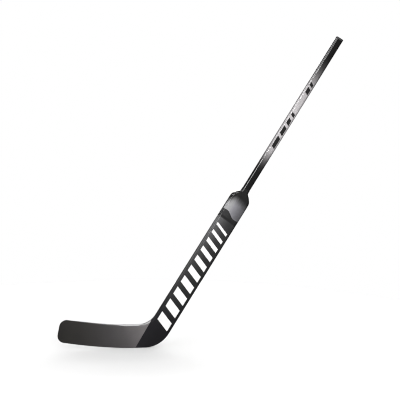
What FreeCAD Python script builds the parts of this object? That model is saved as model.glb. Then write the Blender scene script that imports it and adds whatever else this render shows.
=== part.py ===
import FreeCAD, Part
import math
import os

# Composite hockey goalie stick in its playing pose.
# Frame: millimetres, +Z up, the blade's sole stands on Z = 0 at the origin,
# the toe points to -X, the shaft leans to +X, -Y is the face with the graphics
# (the "front" in the names below), and the blade's curve opens to +Y.

# ---------------------------------------------------------------- dimensions
LIE = 58.0              # paddle and shaft axis above the ice, degrees
HEEL_X = 79.8           # where the paddle's lower edge, drawn on, meets the ice

PADDLE_W = 78.0         # paddle width, edge to edge
PADDLE_T = 24.0         # paddle thickness
PADDLE_BEV = (8.0, 7.5)   # bevel along the width and along the thickness
SHOULDER_U0 = 600.0     # paddle starts to change into the shoulder (along the axis)
COLLAR_U = 664.0        # end of the shoulder's collar on the shaft
HEEL_LOFT_U = 120.0     # below this the paddle turns into the heel
FLARE = 1.5             # the paddle's upper edge runs out by this much towards the heel

SHAFT_W = 28.0          # shaft section, in the paddle's plane
SHAFT_T = 20.0          # shaft section, across the paddle's plane
SHAFT_R = 6.5           # shaft corner radius
SHAFT_WALL = 1.8
SHAFT_END_U = 1310.0    # butt end of the tube
TENON_U = 560.0         # lower end of the tube, inside the paddle

HEEL_R = 106.0          # rounded heel, outer outline
THROAT_R = 71.0         # fillet between the paddle's upper edge and the blade's top
BLADE_H0 = 87.0         # blade height at the heel
BLADE_RISE = 0.1010     # slope of the blade's top edge towards the toe
ROCKER_K = 5.24e-4      # sole rocker, z = K * |x|^P towards the toe
ROCKER_P = 1.88
SOLE_FLAT = 0.25        # depth of the flat worn into the sole under the heel
TOE_X = -302.3          # toe
TOE_LEAN = 16.0         # how far the toe leans back at its top
TOE_R_TOP = 26.0
TOE_R_SOLE = 25.0
CURVE_X0 = -40.0        # blade curve starts here
CURVE_DEPTH = 24.0      # blade curve, depth at the toe
TOE_HALF_T = 4.6        # half thickness of the blade at the toe

SKIN = 1.2              # laminate thickness
SEAM_Y = 1.0            # the two skins meet this far behind the middle
JOIN_X = -14.0          # the blade's skins meet the paddle's on a straight line from here on the sole
JOIN_ANGLE = 59.8       # at this angle, close to the line of the paddle's upper edge
GAP = 0.05              # bond line between skins

SPAR_V = 14.6           # inner face of each paddle spar
SPAR_T = 1.2
RAIL_V = 30.5           # inner face of each edge rail
CORE_U0 = 78.0          # top of the heel block
FILLER_U = 643.0        # top of the spars, bottom of the shoulder filler
RIM_W = 6.0             # width of the blade's rim
BRIDGE_T = 1.6          # thickness of the blade's bridge

CAP_H = 6.5             # visible height of the butt plug
PLUG_LEN = 42.0         # length of the plug inside the tube
FOAM_PLUG_LEN = 40.0    # foam stopper in the tube's lower end
FILM_T = 0.12           # transfer film thickness

# ---------------------------------------------------------------- frame helpers
_a = math.radians(LIE)
AX = (math.cos(_a), math.sin(_a))        # along the shaft, in the XZ plane
PX = (math.sin(_a), -math.cos(_a))       # across, towards the lower edge
HALF_W = PADDLE_W / 2.0
C0 = (HEEL_X - HALF_W * PX[0], -HALF_W * PX[1])   # centre line at u = 0
V = FreeCAD.Vector
K_ARC = 0.5523          # corner drawn as a round
K_BEV = 0.25            # corner drawn as a flat bevel with softened ends


def uv(u, v):
    return (C0[0] + u * AX[0] + v * PX[0], C0[1] + u * AX[1] + v * PX[1])


LOCAL = FreeCAD.Matrix(
    AX[0], PX[0], 0, C0[0],
    0, 0, 1, 0,
    AX[1], PX[1], 0, C0[1],
    0, 0, 0, 1,
)


def ubox(u0, u1, v0, v1, y0, y1):
    """A box along the paddle's own axes."""
    b = Part.makeBox(u1 - u0, v1 - v0, y1 - y0, V(u0, v0, y0))
    b.Placement = FreeCAD.Placement(LOCAL).multiply(b.Placement)
    return b


def past_join(side, shift):
    """Half space on the paddle's side (+1) or the blade's side (-1) of the line where the two meet."""
    b = Part.makeBox(1600, 1000, 400, V(-300, shift if side > 0 else -1000 + shift, -200))
    j = math.radians(JOIN_ANGLE)
    m = FreeCAD.Matrix(
        math.cos(j), math.sin(j), 0, JOIN_X,
        0, 0, 1, 0,
        math.sin(j), -math.cos(j), 0, 0,
        0, 0, 0, 1,
    )
    b.Placement = FreeCAD.Placement(m).multiply(b.Placement)
    return b


def smooth(t):
    t = max(0.0, min(1.0, t))
    return t * t * (3 - 2 * t)


def table(x, rows):
    """Smooth interpolation in a table of (x, value) rows."""
    if x <= rows[0][0]:
        return rows[0][1]
    for (x0, y0), (x1, y1) in zip(rows, rows[1:]):
        if x <= x1:
            return y0 + (y1 - y0) * smooth((x - x0) / (x1 - x0))
    return rows[-1][1]


# ---------------------------------------------------------------- outlines
def z_sole(x):
    z = -SOLE_FLAT
    if x < 0:
        z += ROCKER_K * (-x) ** ROCKER_P
    return z


def z_top(x):
    w = 0.0
    if x < -130.0:
        w = -90.0 - x
    elif x < -50.0:
        w = (-50.0 - x) ** 2 / 160.0
    return BLADE_H0 + BLADE_RISE * w


CURVE_LEN = CURVE_X0 - TOE_X
CURVE_R = (CURVE_LEN ** 2 + CURVE_DEPTH ** 2) / (2 * CURVE_DEPTH)


def y_mid(x):
    if x >= CURVE_X0:
        return 0.0
    return CURVE_R - math.sqrt(CURVE_R ** 2 - (x - CURVE_X0) ** 2)


# throat fillet centre, in the XZ plane
_zc = BLADE_H0 + THROAT_R
_xc = C0[0] + (-HALF_W - THROAT_R + (_zc - C0[1]) * math.cos(_a)) / math.sin(_a)
THROAT_C = (_xc, _zc)
# heel arc centre
_zh = HEEL_R - SOLE_FLAT
_xh = C0[0] + (HALF_W - HEEL_R + (_zh - C0[1]) * math.cos(_a)) / math.sin(_a)
HEEL_C = (_xh, _zh)
FAN_U = (_xc - C0[0]) * AX[0] + (_zc - C0[1]) * AX[1]   # axis station where the fan starts


def heel_outer(phi):
    """Distance from the throat centre to the outer outline, along direction phi."""
    d = (math.cos(phi), math.sin(phi))
    # lower edge of the paddle: v = +HALF_W
    v_c = (THROAT_C[0] - C0[0]) * PX[0] + (THROAT_C[1] - C0[1]) * PX[1]
    dv = d[0] * PX[0] + d[1] * PX[1]
    r_edge = (HALF_W - v_c) / dv
    p = (THROAT_C[0] + r_edge * d[0], THROAT_C[1] + r_edge * d[1])
    u_edge = (p[0] - C0[0]) * AX[0] + (p[1] - C0[1]) * AX[1]
    u_arc = (HEEL_C[0] - C0[0]) * AX[0] + (HEEL_C[1] - C0[1]) * AX[1]
    if u_edge >= u_arc:
        return r_edge
    if d[1] < 0:
        r_sole = (-SOLE_FLAT - THROAT_C[1]) / d[1]
        if THROAT_C[0] + r_sole * d[0] <= HEEL_C[0]:
            return r_sole
    ox, oz = THROAT_C[0] - HEEL_C[0], THROAT_C[1] - HEEL_C[1]
    b = ox * d[0] + oz * d[1]
    c = ox * ox + oz * oz - HEEL_R ** 2
    return -b + math.sqrt(b * b - c)


# ---------------------------------------------------------------- sections
# s counts along the middle line from the start of the heel (u = 120) to the toe
S_FAN0 = HEEL_LOFT_U - FAN_U
S_FAN1 = S_FAN0 + (THROAT_R + 42.0) * (math.radians(LIE))
S_TOE = S_FAN1 + (THROAT_C[0] - TOE_X)


def half_t(s):
    t = max(0.0, min(1.0, s / S_TOE))
    return PADDLE_T / 2 - (PADDLE_T / 2 - TOE_HALF_T) * t * t * (3 - 2 * t)


def bevels(s):
    """(inner width, inner thickness, outer width, outer thickness) of the bevels."""
    w, t = PADDLE_BEV
    return (
        table(s, [(0, w), (S_FAN1 + 20, 5.0), (S_FAN1 + 130, 3.0), (S_TOE, 2.4)]),
        table(s, [(0, t), (S_FAN1 + 20, 5.4), (S_FAN1 + 130, 3.0), (S_TOE, 2.4)]),
        table(s, [(0, w), (S_FAN1, 5.0), (S_FAN1 + 100, 2.8), (S_TOE, 2.2)]),
        table(s, [(0, t), (S_FAN1, 5.0), (S_FAN1 + 100, 2.8), (S_TOE, 2.2)]),
    )


def softness(s):
    """The paddle's flat bevels turn into round ones at the heel."""
    return table(s, [(0, K_BEV), (S_FAN0 + 8, K_ARC)])


def section(p_in, p_out, y0, b, bev, inset=0.0, k=K_BEV):
    """Closed wire across the stick, from its inner (upper) to its outer (lower) edge:
    flat faces and flat edges, joined by soft bevels."""
    dx, dz = p_out[0] - p_in[0], p_out[1] - p_in[1]
    length = math.hypot(dx, dz)
    ex, ez = dx / length, dz / length
    cx, cz = (p_in[0] + p_out[0]) / 2, (p_in[1] + p_out[1]) / 2
    a = length / 2 - inset
    b = b - inset
    iw, it, ow, ot = (max(c - inset, 0.7) for c in bev)
    it, ot = min(it, b * 0.8), min(ot, b * 0.8)

    def pt(s, y):
        return V(cx + ex * s, y0 + y, cz + ez * s)

    def line(s0, y_0, s1, y_1):
        return Part.LineSegment(pt(s0, y_0), pt(s1, y_1)).toShape()

    def corner(s0, y_0, s1, y_1, sc, yc):
        c = Part.BezierCurve()
        c.setPoles([
            pt(s0, y_0),
            pt(s0 + k * (sc - s0), y_0 + k * (yc - y_0)),
            pt(s1 + k * (sc - s1), y_1 + k * (yc - y_1)),
            pt(s1, y_1),
        ])
        return c.toShape()

    return Part.Wire([
        line(-a, b - it, -a, -(b - it)),
        corner(-a, -(b - it), -a + iw, -b, -a, -b),
        line(-a + iw, -b, a - ow, -b),
        corner(a - ow, -b, a, -(b - ot), a, -b),
        line(a, -(b - ot), a, b - ot),
        corner(a, b - ot, a - ow, b, a, b),
        line(a - ow, b, -a + iw, b),
        corner(-a + iw, b, -a, b - it, -a, b),
    ])


def upper_edge(u):
    return -HALF_W - FLARE * max(0.0, min(1.0, (SHOULDER_U0 - u) / (SHOULDER_U0 - HEEL_LOFT_U)))


def paddle_section(u, a, b, bev, inset, k=K_BEV):
    return section(uv(u, -a), uv(u, a), 0.0, b, (bev[0], bev[1], bev[0], bev[1]), inset, k)


def shoulder_half_w(u):
    pts = [(600, 39.0), (608, 39.0), (613, 38.9), (617, 38.6), (621, 37.9), (625, 36.4), (629, 34.1),
           (633, 31.4), (637, 28.5), (641, 25.2), (644, 22.3), (647, 19.0), (649, 17.0), (651, 15.7),
           (653, 15.05), (656, 14.75), (660, 14.65), (664, 14.65)]
    for (u0, a0), (u1, a1) in zip(pts, pts[1:]):
        if u <= u1:
            return a0 + (a1 - a0) * (u - u0) / (u1 - u0)
    return pts[-1][1]


SHOULDER_STATIONS = [600, 604, 608, 613, 617, 621, 625, 629, 633, 637, 641, 644, 647, 649, 651, 653, 656, 660, 664]


def shoulder_loft(inset):
    wires = []
    # the cavity runs out through the collar, so that the shaft can enter
    for u in SHOULDER_STATIONS + ([670, 678] if inset else []):
        a = shoulder_half_w(u)
        b = table(u, [(600, PADDLE_T / 2), (632, PADDLE_T / 2), (661, 10.65)])
        w = table(u, [(600, PADDLE_BEV[0]), (630, PADDLE_BEV[0]), (661, 7.1)])
        t = table(u, [(600, PADDLE_BEV[1]), (630, PADDLE_BEV[1]), (661, 7.1)])
        if inset:
            # the cavity never gets narrower than the shaft and its bond line
            a = max(a - inset, SHAFT_W / 2 + 0.25)
            b = max(b - inset, SHAFT_T / 2 + 0.25)
            r = table(u, [(630, 0.7), (654, SHAFT_R + 0.2)])
            w, t = max(w - inset, r), max(t - inset, r)
        k = table(u, [(608, K_BEV), (658, K_ARC)])
        wires.append(paddle_section(u, a, b, (w, t), 0.0, k))
    # the cavity is ruled, so that it doesn't dip into the shaft between two sections
    return Part.makeLoft(wires, True, inset > 0)


def heel_and_blade_loft(inset):
    wires = []
    for u in (HEEL_LOFT_U, 116.0, 111.0, 105.0, 99.0):
        s = HEEL_LOFT_U - u
        wires.append(section(uv(u, upper_edge(u)), uv(u, HALF_W), 0.0, half_t(s), bevels(s), inset, softness(s)))
    n = 10
    for i in range(n + 1):
        k = i / n
        phi = math.radians(-(90 - LIE) - LIE * k)
        s = S_FAN0 + (S_FAN1 - S_FAN0) * k
        r = heel_outer(phi)
        d = (math.cos(phi), math.sin(phi))
        r_in = THROAT_R - FLARE * (1 - smooth(k))
        p_in = (THROAT_C[0] + r_in * d[0], THROAT_C[1] + r_in * d[1])
        p_out = (THROAT_C[0] + r * d[0], THROAT_C[1] + r * d[1])
        wires.append(section(p_in, p_out, 0.0, half_t(s), bevels(s), inset, softness(s)))
    toe = TOE_X + inset
    stations = [-8.0, -22.0, -40.0, -62.0, -90.0, -122.0, -156.0, -190.0, -222.0, -250.0, -272.0]
    ends = [21.0, 15.5, 11.0, 7.3, 4.4, 2.3, 0.9, 0.2, 0.0]
    for x in stations + [toe + e for e in ends]:
        e = x - toe
        lean = TOE_LEAN * smooth((-140.0 - x) / (-140.0 - TOE_X))
        s = S_FAN1 + (THROAT_C[0] - x)
        rt, rs = TOE_R_TOP - inset, TOE_R_SOLE - inset
        cut_t = rt - math.sqrt(max(0.0, rt * rt - max(0.0, rt - e) ** 2))
        cut_s = rs - math.sqrt(max(0.0, rs * rs - max(0.0, rs - e) ** 2))
        rb = 2.4
        b = half_t(s) - (rb - math.sqrt(max(0.0, rb * rb - max(0.0, rb - e) ** 2)))
        zt, zs = z_top(x + lean) - cut_t, z_sole(x) + cut_s
        height = z_top(x + lean) - z_sole(x)
        p_in = (x + lean * (zt - z_sole(x)) / height, zt)
        p_out = (x + lean * (zs - z_sole(x)) / height, zs)
        wires.append(section(p_in, p_out, y_mid(x), b, bevels(s), inset, softness(s)))
    return Part.makeLoft(wires, True, False)


def master(inset):
    """Paddle, shoulder, heel and blade as one closed form, drawn in by inset."""
    straight = [
        section(uv(u, upper_edge(u)), uv(u, HALF_W), 0.0, PADDLE_T / 2, PADDLE_BEV * 2, inset)
        for u in (HEEL_LOFT_U, SHOULDER_U0)
    ]
    prism = Part.makeLoft(straight, True, True)
    form = prism.fuse([shoulder_loft(inset), heel_and_blade_loft(inset)])
    return form.Solids[0] if len(form.Solids) == 1 else form


def rounded_bar(u0, u1, w, t, r):
    """Straight bar along the shaft axis with a rounded rectangular section."""
    return Part.makeLoft(
        [paddle_section(u, w / 2, t / 2, (r, r), 0.0, K_ARC) for u in (u0, u1)], True, True
    )


def only(shape, what):
    solids = shape.Solids
    if len(solids) != 1:
        print("note:", what, "has", len(solids), "solids", [round(s.Volume, 1) for s in solids])
    return solids[0] if len(solids) == 1 else max(solids, key=lambda s: s.Volume)


# ---------------------------------------------------------------- the two forms
outer = master(0.0)
inner = master(SKIN)
# the sole's flat, which stands on the ice
outer = only(outer.cut(Part.makeBox(700, 120, 40, V(-350, -60, -40))), "outer form")
cavity = only(inner, "cavity")
shell = outer.cut(cavity)

# everything behind the seam, following the blade's curve
x_far = TOE_X - 60.0
arc = Part.Arc(
    V(x_far, y_mid(x_far) + SEAM_Y, -60),
    V((x_far + CURVE_X0) / 2, y_mid((x_far + CURVE_X0) / 2) + SEAM_Y, -60),
    V(CURVE_X0, SEAM_Y, -60),
).toShape()
corners = [V(CURVE_X0, SEAM_Y, -60), V(1000, SEAM_Y, -60), V(1000, 140, -60), V(x_far, 140, -60),
           V(x_far, y_mid(x_far) + SEAM_Y, -60)]
behind = Part.Face(Part.Wire([arc, Part.makePolygon(corners)])).extrude(V(0, 0, 1400))

# the two sides of the line where the blade joins the paddle
paddle_side = past_join(1, GAP / 2)
blade_side = past_join(-1, -GAP / 2)
front_shell = shell.cut(behind)
rear_shell = shell.common(behind)

parts = {}
parts["paddle_front_skin"] = only(front_shell.common(paddle_side), "paddle_front_skin")
parts["paddle_rear_skin"] = only(rear_shell.common(paddle_side), "paddle_rear_skin")
parts["blade_front_skin"] = only(front_shell.common(blade_side), "blade_front_skin")
parts["blade_rear_skin"] = only(rear_shell.common(blade_side), "blade_rear_skin")

# ---------------------------------------------------------------- shaft
tube_out = rounded_bar(TENON_U, SHAFT_END_U, SHAFT_W, SHAFT_T, SHAFT_R)
tube_in = rounded_bar(
    TENON_U - 1, SHAFT_END_U + 1, SHAFT_W - 2 * SHAFT_WALL, SHAFT_T - 2 * SHAFT_WALL, SHAFT_R - SHAFT_WALL
)
parts["shaft_tube"] = only(tube_out.cut(tube_in), "shaft_tube")

# butt plug: a cap flush with the tube, and a hollow tongue with glue grooves inside it
bore_w, bore_t, bore_r = SHAFT_W - 2 * SHAFT_WALL, SHAFT_T - 2 * SHAFT_WALL, SHAFT_R - SHAFT_WALL
cap = rounded_bar(SHAFT_END_U, SHAFT_END_U + CAP_H, SHAFT_W, SHAFT_T, SHAFT_R)
top_edges = [e for f in cap.Faces for e in f.Edges
             if all(abs((vx.Point.x - C0[0]) * AX[0] + (vx.Point.z - C0[1]) * AX[1] - SHAFT_END_U - CAP_H) < 1e-3
                    for vx in e.Vertexes)]
seen, rim_edges = [], []
for e in top_edges:
    if not any(e.isSame(o) for o in seen):
        seen.append(e)
        rim_edges.append(e)
cap = cap.makeFillet(2.2, rim_edges)
tongue = rounded_bar(SHAFT_END_U - PLUG_LEN, SHAFT_END_U, bore_w - 0.2, bore_t - 0.2, bore_r)
for g in (9.0, 20.0, 31.0):
    band = rounded_bar(SHAFT_END_U - g - 3.0, SHAFT_END_U - g, bore_w + 2, bore_t + 2, bore_r + 1)
    groove = band.cut(rounded_bar(SHAFT_END_U - g - 4.0, SHAFT_END_U - g + 1.0, bore_w - 2.0, bore_t - 2.0, bore_r - 0.8))
    tongue = tongue.cut(groove)
hollow = rounded_bar(SHAFT_END_U - PLUG_LEN - 1, SHAFT_END_U - 4.0, bore_w - 6.4, bore_t - 6.4, 1.2)
web = ubox(SHAFT_END_U - PLUG_LEN, SHAFT_END_U - 4.0, -0.9, 0.9, -bore_t / 2 + 2.5, bore_t / 2 - 2.5)
plug = cap.fuse(tongue.cut(hollow)).fuse(web)
parts["shaft_end_plug"] = only(plug.removeSplitter(), "shaft_end_plug")

# foam stopper that closes the tube's lower end against the paddle's foam
parts["tenon_foam_stopper"] = rounded_bar(TENON_U, TENON_U + FOAM_PLUG_LEN, bore_w, bore_t, bore_r)

# adhesive round the tenon, between the spars and the skins
tenon_zone = ubox(TENON_U, FILLER_U, -SPAR_V, SPAR_V, -30, 30)
parts["tenon_adhesive"] = only(cavity.common(tenon_zone).cut(tube_out), "tenon_adhesive")
parts["shoulder_filler"] = only(
    cavity.common(ubox(FILLER_U, COLLAR_U, -60, 60, -30, 30)).cut(tube_out), "shoulder_filler"
)

# ---------------------------------------------------------------- inside the paddle
def in_cavity(u0, u1, v0, v1):
    return cavity.common(ubox(u0, u1, v0, v1, -40, 40))


parts["paddle_upper_spar"] = only(in_cavity(CORE_U0, FILLER_U, -SPAR_V - SPAR_T, -SPAR_V), "upper spar")
parts["paddle_lower_spar"] = only(in_cavity(CORE_U0, FILLER_U, SPAR_V, SPAR_V + SPAR_T), "lower spar")
parts["paddle_middle_core"] = only(in_cavity(CORE_U0, TENON_U, -SPAR_V, SPAR_V), "middle core")
upper_rail_zone = ubox(CORE_U0 + 22, 608, -60, -RAIL_V, -40, 40)
lower_rail_zone = ubox(CORE_U0, 608, RAIL_V, 60, -40, 40)
parts["paddle_upper_rail"] = only(cavity.common(upper_rail_zone), "upper rail")
parts["paddle_lower_rail"] = only(cavity.common(lower_rail_zone), "lower rail")
upper_core = in_cavity(CORE_U0, FILLER_U, -60, -SPAR_V - SPAR_T).cut(upper_rail_zone)
parts["paddle_upper_core"] = only(upper_core.common(paddle_side), "upper core")
lower_core = in_cavity(CORE_U0, FILLER_U, SPAR_V + SPAR_T, 60).cut(lower_rail_zone)
parts["paddle_lower_core"] = only(lower_core, "lower core")

# ---------------------------------------------------------------- inside the blade and heel
# bridge: a web along the middle of the blade, with a tongue in the heel block
bx0, bz0, bx1, bz1 = -310.0, 64.0, 42.0, 43.5
blen = math.hypot(bx1 - bx0, bz1 - bz0)
slab = Part.makeBox(blen, 120, BRIDGE_T, V(0, -60, -BRIDGE_T / 2))
slab.Placement = FreeCAD.Placement(
    V(bx0, 0, bz0), FreeCAD.Rotation(V(0, 1, 0), -math.degrees(math.atan2(bz1 - bz0, bx1 - bx0)))
)

heel_zone = cavity.common(ubox(-90, CORE_U0, -120, 60, -40, 40)).common(paddle_side)
parts["heel_block"] = only(heel_zone.cut(slab), "heel_block")

# outline of the foam inside the rim
w = SKIN + RIM_W
xs = [24.0, 4.0, -20.0, -50.0, -90.0, -130.0, -170.0, -210.0, -245.0, -270.0]
top_pts = [V(x + TOE_LEAN * smooth((-140.0 - x) / (-140.0 - TOE_X)), -60,
             z_top(x) - w + (0.0 if x < 3 else 71.0 - math.sqrt(71.0 ** 2 - (x - THROAT_C[0]) ** 2))) for x in xs]
toe_end = TOE_X + w
toe_pts = [V(toe_end + 30, -60, z_top(toe_end + 30) - w), V(toe_end + 19.5, -60, z_top(toe_end) - w - 4.5),
           V(toe_end + 11.5, -60, z_top(toe_end) - w - 16.0), V(toe_end + 5.2, -60, 56.0),
           V(toe_end + 3.0, -60, z_sole(toe_end) + w + 13.0), V(toe_end + 8.0, -60, z_sole(toe_end) + w + 3.6),
           V(toe_end + 18, -60, z_sole(toe_end + 18) + w)]
sole_pts = [V(x, -60, z_sole(x) + w) for x in (-262.0, -230.0, -190.0, -150.0, -110.0, -70.0, -40.0, -15.0, 0.0, 10.0)]
ring = top_pts[:-1] + toe_pts + sole_pts
c_line = Part.BSplineCurve()
c_line.interpolate(ring)
outline = Part.Wire([c_line.toShape(), Part.makePolygon([ring[-1], V(60, -60, z_sole(0) + w), V(60, -60, 200),
                                                        V(ring[0].x, -60, 200), ring[0]])])
foam_zone = Part.Face(outline).extrude(V(0, 120, 0))
blade_cavity = cavity.common(blade_side)
inside_rim = blade_cavity.common(foam_zone)
foam = inside_rim.cut(slab)
rim = blade_cavity.cut(foam_zone)
tongue_zone = cavity.common(past_join(1, -GAP / 2)).common(slab)
parts["blade_bridge"] = only(inside_rim.common(slab).fuse(tongue_zone).removeSplitter(), "blade_bridge")
foams = sorted(foam.Solids, key=lambda s: s.CenterOfMass.z)
print("foam solids", [round(s.Volume) for s in foams], "rim solids", [round(s.Volume) for s in rim.Solids])
parts["blade_lower_core"] = foams[0]
parts["blade_upper_core"] = foams[-1]
parts["blade_rim"] = only(rim, "blade_rim")


# ---------------------------------------------------------------- transfer films
def film(rows, v0, v1, slant, y, out):
    """Slanted bars of thin film on a flat face: rows of (start, length) along the axis."""
    solids = []
    for u0, length in rows:
        pts = [(u0 + slant * v0, v0), (u0 + length + slant * v0, v0),
               (u0 + length + slant * v1, v1), (u0 + slant * v1, v1)]
        ring3 = [V(uv(u, v)[0], y, uv(u, v)[1]) for u, v in pts]
        solids.append(Part.Face(Part.makePolygon(ring3 + ring3[:1])).extrude(V(0, out, 0)))
    return solids


def rows_from(u0, lengths, gap):
    rows = []
    for n in lengths:
        rows.append((u0, n))
        u0 += n + gap
    return rows


PADDLE_BARS = rows_from(131.0, (33.0, 31.0, 28.0, 25.0, 22.0, 19.0, 16.0, 13.0, 10.0), 21.0)
SHAFT_BARS = rows_from(846.0, (44.0, 32.0, 22.0, 13.0), 12.0) + rows_from(1078.0, (22.0, 12.0), 9.0)
face_y, shaft_y = PADDLE_T / 2, SHAFT_T / 2
# the lowest bar lies on the heel, which isn't quite flat, so it is drawn on the form itself
over = heel_and_blade_loft(-FILM_T)


def heel_bar(out):
    block = film([(74.0, 34.0)], -27.5, 27.0, -0.4, 0.0, out)[0]
    return only(over.common(block).cut(outer.common(block)), "heel bar")


parts["paddle_front_film"] = Part.makeCompound(
    [heel_bar(-40.0)] + film(PADDLE_BARS, -27.5, 27.0, -0.4, -face_y, -FILM_T)
)
parts["paddle_rear_film"] = Part.makeCompound(
    [heel_bar(40.0)] + film(PADDLE_BARS, -27.5, 27.0, -0.4, face_y, FILM_T)
)
parts["shaft_front_film"] = Part.makeCompound(film(SHAFT_BARS, -6.4, 7.4, -0.5, -shaft_y, -FILM_T))
parts["shaft_rear_film"] = Part.makeCompound(film(SHAFT_BARS, -6.4, 7.4, -0.5, shaft_y, FILM_T))

# ---------------------------------------------------------------- write
os.makedirs("parts", exist_ok=True)
total = 0.0
for name, shape in parts.items():
    bad = [s for s in shape.Solids if not s.isValid()]
    total += shape.Volume
    print("%-22s solids %2d  volume %10.1f  valid %s" % (name, len(shape.Solids), shape.Volume, not bad))
    shape.exportStep(os.path.join("parts", name + ".step"))
print("nodes", len(parts), "volume", round(total))
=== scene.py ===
import math

import bmesh
import bpy
import numpy as np
from mathutils import Matrix, Vector


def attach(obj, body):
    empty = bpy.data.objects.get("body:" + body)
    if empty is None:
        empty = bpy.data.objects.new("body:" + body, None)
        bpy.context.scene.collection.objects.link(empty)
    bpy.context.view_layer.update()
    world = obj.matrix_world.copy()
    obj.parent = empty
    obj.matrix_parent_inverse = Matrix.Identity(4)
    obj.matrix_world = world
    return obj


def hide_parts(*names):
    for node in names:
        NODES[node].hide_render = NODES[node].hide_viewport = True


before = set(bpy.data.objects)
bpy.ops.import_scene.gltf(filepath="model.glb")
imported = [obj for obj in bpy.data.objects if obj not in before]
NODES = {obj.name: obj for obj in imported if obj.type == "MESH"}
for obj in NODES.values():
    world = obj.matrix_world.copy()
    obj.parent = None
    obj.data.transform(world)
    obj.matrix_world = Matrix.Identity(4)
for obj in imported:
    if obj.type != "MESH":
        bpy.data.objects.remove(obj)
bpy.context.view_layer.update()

# ------------------------------------------------------------------ the stick's own geometry, in mm
# +Z up, sole on Z = 0, toe towards -X, shaft leaning to +X, -Y is the front.
LIE = 58.0
HEEL_X = 79.8
HALF_W, HALF_T = 39.0, 12.0
BEV = (8.0, 7.5)
SHOULDER_U0, COLLAR_U, HEEL_LOFT_U, FLARE = 600.0, 664.0, 120.0, 1.5
SHAFT_W, SHAFT_T, SHAFT_R, SHAFT_WALL = 28.0, 20.0, 6.5, 1.8
TENON_U, SHAFT_END_U = 560.0, 1310.0
HEEL_R, THROAT_R = 106.0, 71.0
BLADE_H0, BLADE_RISE, ROCKER_K, ROCKER_P, SOLE_FLAT = 87.0, 0.1010, 5.24e-4, 1.88, 0.25
TOE_X, TOE_LEAN, TOE_R_TOP, TOE_R_SOLE = -302.3, 16.0, 26.0, 25.0
CURVE_X0, CURVE_DEPTH, TOE_HALF_T = -40.0, 24.0, 4.6
SKIN, SEAM_Y, GAP = 1.2, 1.0, 0.05
JOIN_X, JOIN_ANGLE = -14.0, math.radians(59.8)
K_ARC, K_BEV = 0.5523, 0.25
MM = 0.001

_a = math.radians(LIE)
AX = (math.cos(_a), math.sin(_a))
PX = (math.sin(_a), -math.cos(_a))
C0 = (HEEL_X - HALF_W * PX[0], -HALF_W * PX[1])


def uv(u, v):
    return (C0[0] + u * AX[0] + v * PX[0], C0[1] + u * AX[1] + v * PX[1])


def smooth(t):
    t = max(0.0, min(1.0, t))
    return t * t * (3 - 2 * t)


def table(x, rows):
    if x <= rows[0][0]:
        return rows[0][1]
    for (x0, y0), (x1, y1) in zip(rows, rows[1:]):
        if x <= x1:
            return y0 + (y1 - y0) * smooth((x - x0) / (x1 - x0))
    return rows[-1][1]


def z_sole(x):
    return -SOLE_FLAT + (ROCKER_K * (-x) ** ROCKER_P if x < 0 else 0.0)


def z_top(x):
    w = 0.0
    if x < -130.0:
        w = -90.0 - x
    elif x < -50.0:
        w = (-50.0 - x) ** 2 / 160.0
    return BLADE_H0 + BLADE_RISE * w


CURVE_LEN = CURVE_X0 - TOE_X
CURVE_R = (CURVE_LEN ** 2 + CURVE_DEPTH ** 2) / (2 * CURVE_DEPTH)


def y_mid(x):
    return 0.0 if x >= CURVE_X0 else CURVE_R - math.sqrt(CURVE_R ** 2 - (x - CURVE_X0) ** 2)


_zc = BLADE_H0 + THROAT_R
THROAT_C = (C0[0] + (-HALF_W - THROAT_R + (_zc - C0[1]) * math.cos(_a)) / math.sin(_a), _zc)
_zh = HEEL_R - SOLE_FLAT
HEEL_C = (C0[0] + (HALF_W - HEEL_R + (_zh - C0[1]) * math.cos(_a)) / math.sin(_a), _zh)
FAN_U = (THROAT_C[0] - C0[0]) * AX[0] + (THROAT_C[1] - C0[1]) * AX[1]


def heel_outer(phi):
    d = (math.cos(phi), math.sin(phi))
    v_c = (THROAT_C[0] - C0[0]) * PX[0] + (THROAT_C[1] - C0[1]) * PX[1]
    r_edge = (HALF_W - v_c) / (d[0] * PX[0] + d[1] * PX[1])
    p = (THROAT_C[0] + r_edge * d[0], THROAT_C[1] + r_edge * d[1])
    u_edge = (p[0] - C0[0]) * AX[0] + (p[1] - C0[1]) * AX[1]
    u_arc = (HEEL_C[0] - C0[0]) * AX[0] + (HEEL_C[1] - C0[1]) * AX[1]
    if u_edge >= u_arc:
        return r_edge
    if d[1] < 0:
        r_sole = (-SOLE_FLAT - THROAT_C[1]) / d[1]
        if THROAT_C[0] + r_sole * d[0] <= HEEL_C[0]:
            return r_sole
    ox, oz = THROAT_C[0] - HEEL_C[0], THROAT_C[1] - HEEL_C[1]
    b = ox * d[0] + oz * d[1]
    return -b + math.sqrt(b * b - (ox * ox + oz * oz - HEEL_R ** 2))


S_FAN0 = HEEL_LOFT_U - FAN_U
S_FAN1 = S_FAN0 + (THROAT_R + 42.0) * _a
S_TOE = S_FAN1 + (THROAT_C[0] - TOE_X)


def half_t(s):
    t = max(0.0, min(1.0, s / S_TOE))
    return HALF_T - (HALF_T - TOE_HALF_T) * t * t * (3 - 2 * t)


def bevels(s):
    w, t = BEV
    return (
        table(s, [(0, w), (S_FAN1 + 20, 5.0), (S_FAN1 + 130, 3.0), (S_TOE, 2.4)]),
        table(s, [(0, t), (S_FAN1 + 20, 5.4), (S_FAN1 + 130, 3.0), (S_TOE, 2.4)]),
        table(s, [(0, w), (S_FAN1, 5.0), (S_FAN1 + 100, 2.8), (S_TOE, 2.2)]),
        table(s, [(0, t), (S_FAN1, 5.0), (S_FAN1 + 100, 2.8), (S_TOE, 2.2)]),
        table(s, [(0, K_BEV), (S_FAN0 + 8, K_ARC)]),
    )


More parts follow.
